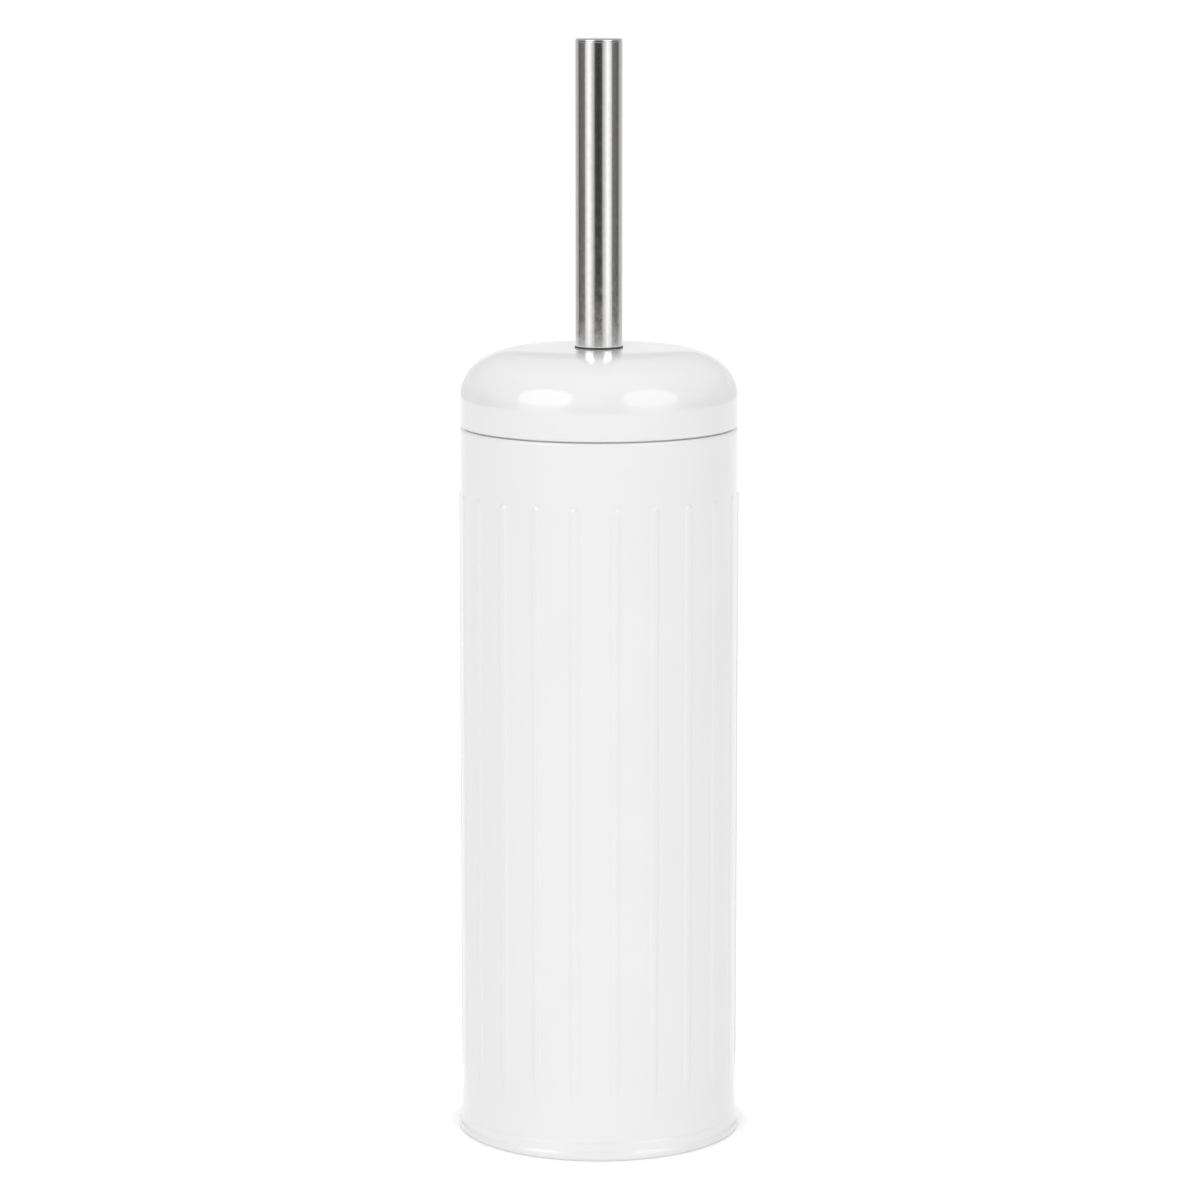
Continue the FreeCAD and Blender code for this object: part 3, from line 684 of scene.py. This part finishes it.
def makeBristles():
    b = bristle
    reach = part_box("bristle_row_1")[1].x
    for row in range(b["rows"]):
        height = b["centre"] + row * b["rowPitch"]
        makeTufts(f"bristleRow{row + 1}", f"bristle_row_{row + 1}", height, 0, reach, b["rowTufts"], row % 2)
    makeTufts("bristleSideTufts", "bristle_side_tufts", b["centre"], radians(b["sideAngle"]), b["sideReach"],
              b["sideTufts"], 0)
    makeTufts("bristleEndTufts", "bristle_end_tufts", b["centre"], radians(b["endAngle"]), b["endReach"],
              b["endTufts"], 0)


makeBristles()
for mesh in filaments:
    bpy.data.meshes.remove(mesh)

for node, piece in frame["nodes"].items():
    if not piece.hide_render:
        piece.data.materials.clear()
        piece.data.materials.append(finishes[slotOf[node]])
        print("kept", node)

stage = {
    "floorSize": 60.0, "floorGlow": 1.0, "nearEdge": 0.0487, "farEdge": 0.056,
    "floorNear": {"tone": grey(0.80), "glow": grey(0.2)},    # dark enough to show where the base stands
    "floorFar": {"tone": grey(0.24), "glow": grey(0.81)},    # so bright that shadows hardly show
    "floorCells": 8, "cloudSize": 0.4, "cloudShare": 0.02,
    "worldTone": grey(1.0), "worldLight": 0.52,
    "wallRadius": 1.05, "wallTurn": 2.5, "wallSteps": 96,
}


def makeFloor():
    bm = bmesh.new()
    cells = stage["floorCells"]
    bmesh.ops.create_grid(bm, x_segments=cells, y_segments=cells, size=stage["floorSize"] / 2)
    mesh = bpy.data.meshes.new("floor")
    bm.to_mesh(mesh)
    bm.free()
    floor = bpy.data.objects.new("floor", mesh)
    bpy.context.scene.collection.objects.link(floor)
    made = Finish("floorPaint", {"Roughness": 0.8, "Specular IOR Level": 0.0,
                                 "Emission Strength": stage["floorGlow"]})
    away = made.node("ShaderNodeVectorMath", {"operation": "LENGTH"}, {0: made.place}, output="Value")
    away = away.between(stage["nearEdge"], stage["farEdge"])
    near, far = stage["floorNear"], stage["floorFar"]
    made.drive("Emission Color", made.blend(away, near["glow"], far["glow"]))
    share = stage["cloudShare"]
    cloudy = made.noise(stage["cloudSize"], 3.0) * share + away * (1 - share)
    made.drive("Base Color", made.blend(cloudy, near["tone"], far["tone"]))
    mesh.materials.append(made.material)


# What polished metal and paint see around them, as walls of light between two heights that stand
# further than "behind" degrees from the front: (degrees from the front, light), both ways round alike.
surroundings = {
    "lowRing": {"low": 0.165, "high": 0.44, "behind": 0, "lights": [
        (0, 0.06), (15, 0.08), (21, 0.55), (34, 1.15), (45, 1.65), (54, 1.4), (65, 1.0), (72, 0.26),
        (90, 0.21), (110, 0.16), (120, 0.60), (150, 0.80), (180, 0.92)]},
    "backCard": {"low": 0.44, "high": 2.4, "behind": 100, "lights": [
        (0, 0.52), (100, 0.52), (140, 0.67), (180, 0.67)]},
}


def makeCard(name, low, high, behind, lights):  # seen only in reflections
    bm = spun([(stage["wallRadius"], low), (stage["wallRadius"], high)], stage["wallSteps"], closed=False)
    if behind:  # only the part behind the object, fading upwards into the world's light
        edge = -stage["wallRadius"] * cos(radians(behind))
        front = [face for face in bm.faces if face.calc_center_median().y < edge]
        bmesh.ops.delete(bm, geom=front, context="FACES")
    mesh = bpy.data.meshes.new(name)
    bm.to_mesh(mesh)
    bm.free()
    wall = bpy.data.objects.new(name, mesh)
    bpy.context.scene.collection.objects.link(wall)
    made = Finish(name, {"Roughness": 1.0})
    side = made.node("ShaderNodeSeparateXYZ", inputs={0: made.place}, output="X")
    depth = Signal(made, side.socket.node.outputs["Y"])
    turn = made.node("ShaderNodeMath", {"operation": "ARCTAN2"}, {0: side, 1: depth * -1})
    turn = turn + radians(stage["wallTurn"])
    away = made.node("ShaderNodeMath", {"operation": "ABSOLUTE"}, {0: turn}) * (1 / pi)
    stops = [(degrees / 180, grey(light / 2)) for degrees, light in lights]
    glow = made.node("ShaderNodeValToRGB", {"stops": stops}, {"Fac": away})
    if behind:
        height = Signal(made, side.socket.node.outputs["Z"])
        glow = made.blend(height.between(low, high), glow, grey(stage["worldLight"] / 2))
    lamp = made.node("ShaderNodeEmission", inputs={"Color": glow, "Strength": 2.0})
    made.tree.links.new(lamp.socket, made.tree.nodes["Material Output"].inputs["Surface"])
    mesh.materials.append(made.material)
    wall.visible_camera = False
    wall.visible_diffuse = False
    wall.visible_shadow = False
    wall.visible_transmission = False


def makeWorld():
    world = bpy.data.worlds.new("studio")
    world.use_nodes = True
    background = world.node_tree.nodes["Background"]
    background.inputs["Color"].default_value = stage["worldTone"]
    background.inputs["Strength"].default_value = stage["worldLight"]
    bpy.context.scene.world = world


# Soft discs of light far away: turn from the front towards +X and tilt above level, in degrees.
# The keys make the highlights, and the other two light the whole object evenly.
lamps = {
    "keyLeft": {"turn": -48.6, "tilt": 25, "disc": 46, "power": 0.98, "shines": True},
    "keyRight": {"turn": 47.0, "tilt": 25, "disc": 46, "power": 0.76, "shines": True},
    "frontFill": {"turn": -4, "tilt": 50, "disc": 50, "power": 1.26, "shines": False},
    "overhead": {"turn": 180, "tilt": 78, "disc": 60, "power": 0.70, "shines": False},
}


def makeLamp(name, turn, tilt, disc, power, shines):
    lamp = bpy.data.lights.new(name, "SUN")
    lamp.angle = radians(disc)
    lamp.energy = power
    turn, tilt = radians(turn), radians(tilt)
    out = Vector((sin(turn) * cos(tilt), -cos(turn) * cos(tilt), sin(tilt)))
    holder = bpy.data.objects.new(name, lamp)
    holder.location = out * 2
    holder.rotation_euler = (-out).to_track_quat("-Z", "Y").to_euler()
    holder.visible_glossy = shines
    holder.visible_diffuse = not shines
    bpy.context.scene.collection.objects.link(holder)


view = {
    "place": (0, -1.4702, 0.4282), "pitch": 9.42, "shift": (0.0009, 0.0031),
    "lens": 129.89, "sensor": 36, "clip": 200,
}


def makeCamera():
    lens = bpy.data.cameras.new("camera")
    lens.lens = view["lens"]
    lens.sensor_width = view["sensor"]
    lens.shift_x, lens.shift_y = view["shift"]
    lens.clip_end = view["clip"]
    camera = bpy.data.objects.new("camera", lens)
    camera.location = view["place"]
    camera.rotation_euler = (radians(90 - view["pitch"]), 0, 0)
    bpy.context.scene.collection.objects.link(camera)
    bpy.context.scene.camera = camera


makeFloor()
for name, settings in surroundings.items():
    makeCard(name, **settings)
makeWorld()
for name, settings in lamps.items():
    makeLamp(name, **settings)
makeCamera()
bpy.context.scene.view_settings.view_transform = "Standard"
print("stage set")
